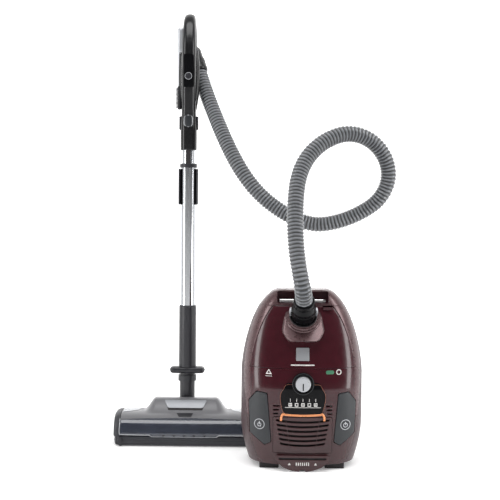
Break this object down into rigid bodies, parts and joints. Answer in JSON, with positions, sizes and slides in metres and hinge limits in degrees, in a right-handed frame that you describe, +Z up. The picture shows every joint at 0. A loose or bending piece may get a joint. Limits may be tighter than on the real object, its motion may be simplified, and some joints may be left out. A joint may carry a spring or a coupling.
{
  "type": "canister vacuum cleaner",
  "caption": "Canister vacuum cleaner parked on its tail, with ribbed hose, telescopic wand, handle and powered floor head.",
  "frame": {"origin": "on the floor, under the middle of the whole object's box, measured without the hose", "axes": "+Z up, -Y the front that shows the controls, +X to the right seen from the front"},
  "size_m": [0.737, 0.5575, 1.168],
  "materials": {
    "burgundy_shell": "gloss",
    "mauve_trim": "metallic gloss",
    "black_gloss": "gloss",
    "dark_grey": "satin",
    "silver_plastic": "satin",
    "chrome_tube": "polished",
    "rubber_black": "matte",
    "tyre_rubber": "matte",
    "hose_grey": "ribbed satin",
    "smoke_window": "clear tint",
    "cover_grey": "satin",
    "bag_fleece": "fleece",
    "filter_fleece": "pleated fleece",
    "motor_white": "matte",
    "steel": "turned",
    "grille_burgundy": "satin",
    "light_button": "satin"
  },
  "bodies": {
    "chassis": {"lower_shell": "burgundy_shell", "tail_cover": "burgundy_shell", "side_trim": "mauve_trim", "carry_handle": "burgundy_shell", "bulkhead": "dark_grey", "control_panel": "black_gloss", "knob_ring": "black_gloss", "exhaust_filter": "filter_fleece", "tail_feet": "rubber_black", "shell_screws": "steel", "dust_bag": "bag_fleece", "motor_housing": "motor_white", "cord_outlet": "rubber_black", "wheel_axles": "steel", "caster_socket": "dark_grey", "suction_hose": "hose_grey", "inner_tube": "chrome_tube", "handle_body": "black_gloss", "handle_panel": "black_gloss"},
    "lid": {"dust_lid": "burgundy_shell", "inlet_surround": "mauve_trim", "inlet_collar": "black_gloss"},
    "latch": {"lid_latch": "burgundy_shell"},
    "cuff": {"hose_cuff": "black_gloss"},
    "cuff_button_l": {"cuff_button_left": "light_button"},
    "cuff_button_r": {"cuff_button_right": "light_button"},
    "door": {"exhaust_door": "grille_burgundy"},
    "tab": {"tail_tab": "burgundy_shell"},
    "dial": {"suction_dial": "silver_plastic"},
    "rewind": {"rewind_pedal": "dark_grey"},
    "power": {"power_pedal": "dark_grey"},
    "left_wheel": {"wheel_left": "dark_grey", "tyre_left": "tyre_rubber"},
    "right_wheel": {"wheel_right": "dark_grey", "tyre_right": "tyre_rubber"},
    "caster": {"caster_fork": "dark_grey"},
    "caster_roller": {"caster_wheel": "tyre_rubber"},
    "rotor": {"motor_rotor": "steel"},
    "reel": {"cord_reel": "dark_grey"},
    "switch": {"power_button": "black_gloss"},
    "hose_release": {"release_button": "dark_grey"},
    "handle_brush": {"brush_slider": "silver_plastic", "dusting_brush": "rubber_black"},
    "swivel": {"hose_swivel": "black_gloss"},
    "wand": {"outer_tube": "chrome_tube", "lower_sleeve": "black_gloss"},
    "slider": {"tube_slider": "black_gloss"},
    "release": {"release_bar": "dark_grey"},
    "neck": {"nozzle_neck": "dark_grey"},
    "head": {"nozzle_base": "dark_grey", "nozzle_bumper": "rubber_black", "nozzle_window": "smoke_window", "nozzle_cover": "cover_grey", "brush_belt": "rubber_black", "brush_motor": "steel"},
    "head_pedal": {"nozzle_pedal": "silver_plastic"},
    "brush": {"brush_roll": "dark_grey"},
    "pulley": {"motor_pulley": "steel"},
    "roller_l": {"roller_left": "tyre_rubber"},
    "roller_r": {"roller_right": "tyre_rubber"}
  },
  "joints": [
    {"name": "lid_hinge", "type": "hinge", "parent": "chassis", "child": "lid", "pos_m": [0.172, -0.2302, 0.2504], "axis": [1, 0, 0], "range_deg": [0, 60], "deforming": ["suction_hose"]},
    {"name": "latch_press", "type": "slide", "parent": "lid", "child": "latch", "axis": [0, 1, 0], "range_m": [0, 0.002], "stiffness_N_per_m": 400},
    {"name": "cuff_swivel", "type": "hinge", "parent": "lid", "child": "cuff", "pos_m": [0.172, -0.191, 0.37], "axis": [0, -0.766, 0.6428], "continuous": true},
    {"name": "left_button_press", "type": "slide", "parent": "cuff", "child": "cuff_button_l", "axis": [1, 0, 0], "range_m": [0, 0.003], "stiffness_N_per_m": 400},
    {"name": "right_button_press", "type": "slide", "parent": "cuff", "child": "cuff_button_r", "axis": [-1, 0, 0], "range_m": [0, 0.003], "stiffness_N_per_m": 400},
    {"name": "door_hinge", "type": "hinge", "parent": "chassis", "child": "door", "pos_m": [0.172, -0.237, 0.132], "axis": [-1, 0, 0], "range_deg": [0, 60]},
    {"name": "tab_press", "type": "slide", "parent": "chassis", "child": "tab", "axis": [0, 1, 0], "range_m": [0, 0.003], "stiffness_N_per_m": 400},
    {"name": "dial_turn", "type": "hinge", "parent": "chassis", "child": "dial", "pos_m": [0.172, -0.12, 0.215], "axis": [0, -1, 0], "range_deg": [-135, 135]},
    {"name": "rewind_press", "type": "slide", "parent": "chassis", "child": "rewind", "axis": [0, 1, 0], "range_m": [0, 0.004], "stiffness_N_per_m": 400},
    {"name": "power_press", "type": "slide", "parent": "chassis", "child": "power", "axis": [0, 1, 0], "range_m": [0, 0.004], "stiffness_N_per_m": 400},
    {"name": "left_wheel_roll", "type": "hinge", "parent": "chassis", "child": "left_wheel", "pos_m": [0.048, -0.058, 0.085], "axis": [1, 0, 0], "continuous": true},
    {"name": "right_wheel_roll", "type": "hinge", "parent": "chassis", "child": "right_wheel", "pos_m": [0.296, -0.058, 0.085], "axis": [1, 0, 0], "continuous": true},
    {"name": "caster_swivel", "type": "hinge", "parent": "chassis", "child": "caster", "pos_m": [0.172, -0.04, 0.34], "axis": [0, 1, 0], "continuous": true},
    {"name": "caster_roll", "type": "hinge", "parent": "caster", "child": "caster_roller", "pos_m": [0.172, -0.018, 0.34], "axis": [1, 0, 0], "continuous": true},
    {"name": "motor_spin", "type": "hinge", "parent": "chassis", "child": "rotor", "pos_m": [0.226, -0.13, 0.1], "axis": [0, 0, 1], "continuous": true},
    {"name": "reel_spin", "type": "hinge", "parent": "chassis", "child": "reel", "pos_m": [0.096, -0.125, 0.172], "axis": [0, 0, 1], "continuous": true},
    {"name": "switch_press", "type": "slide", "parent": "chassis", "child": "switch", "axis": [0, 1, 0], "range_m": [0, 0.0015], "stiffness_N_per_m": 400},
    {"name": "hose_release_press", "type": "slide", "parent": "chassis", "child": "hose_release", "axis": [0, 1, 0], "range_m": [0, 0.003], "stiffness_N_per_m": 400},
    {"name": "handle_brush_slide", "type": "slide", "parent": "chassis", "child": "handle_brush", "axis": [0, 0, -1], "range_m": [0, 0.02]},
    {"name": "hose_swivel_turn", "type": "hinge", "parent": "chassis", "child": "swivel", "pos_m": [-0.108, 0.205, 1.009], "axis": [-0.2876, 0.4474, 0.8468], "continuous": true},
    {"name": "telescope", "type": "slide", "parent": "chassis", "child": "wand", "axis": [0, 0, -1], "range_m": [0, 0.3]},
    {"name": "slider_slide", "type": "slide", "parent": "wand", "child": "slider", "axis": [0, 0, -1], "range_m": [0, 0.008], "stiffness_N_per_m": 400},
    {"name": "release_press", "type": "slide", "parent": "wand", "child": "release", "axis": [0, 0, -1], "range_m": [0, 0.004], "stiffness_N_per_m": 400},
    {"name": "neck_swivel", "type": "hinge", "parent": "wand", "child": "neck", "pos_m": [-0.134, 0.147, 0.172], "axis": [0, 0, 1], "range_deg": [-80, 80]},
    {"name": "head_tilt", "type": "hinge", "parent": "neck", "child": "head", "pos_m": [-0.134, 0.147, 0.056], "axis": [1, 0, 0], "range_deg": [0, 70]},
    {"name": "head_pedal_press", "type": "slide", "parent": "head", "child": "head_pedal", "axis": [0, 0, -1], "range_m": [0, 0.0015], "stiffness_N_per_m": 400},
    {"name": "brush_spin", "type": "hinge", "parent": "head", "child": "brush", "pos_m": [-0.134, 0.061, 0.027], "axis": [1, 0, 0], "continuous": true},
    {"name": "pulley_spin", "type": "hinge", "parent": "head", "child": "pulley", "pos_m": [-0.134, 0.101, 0.06], "axis": [1, 0, 0], "continuous": true},
    {"name": "roller_left_roll", "type": "hinge", "parent": "head", "child": "roller_l", "pos_m": [-0.196, 0.167, 0.017], "axis": [1, 0, 0], "continuous": true},
    {"name": "roller_right_roll", "type": "hinge", "parent": "head", "child": "roller_r", "pos_m": [-0.072, 0.167, 0.017], "axis": [1, 0, 0], "continuous": true}
  ],
  "couplings": [
    {"joint": "pulley_spin", "follows": "brush_spin", "ratio": 2.3333}
  ]
}
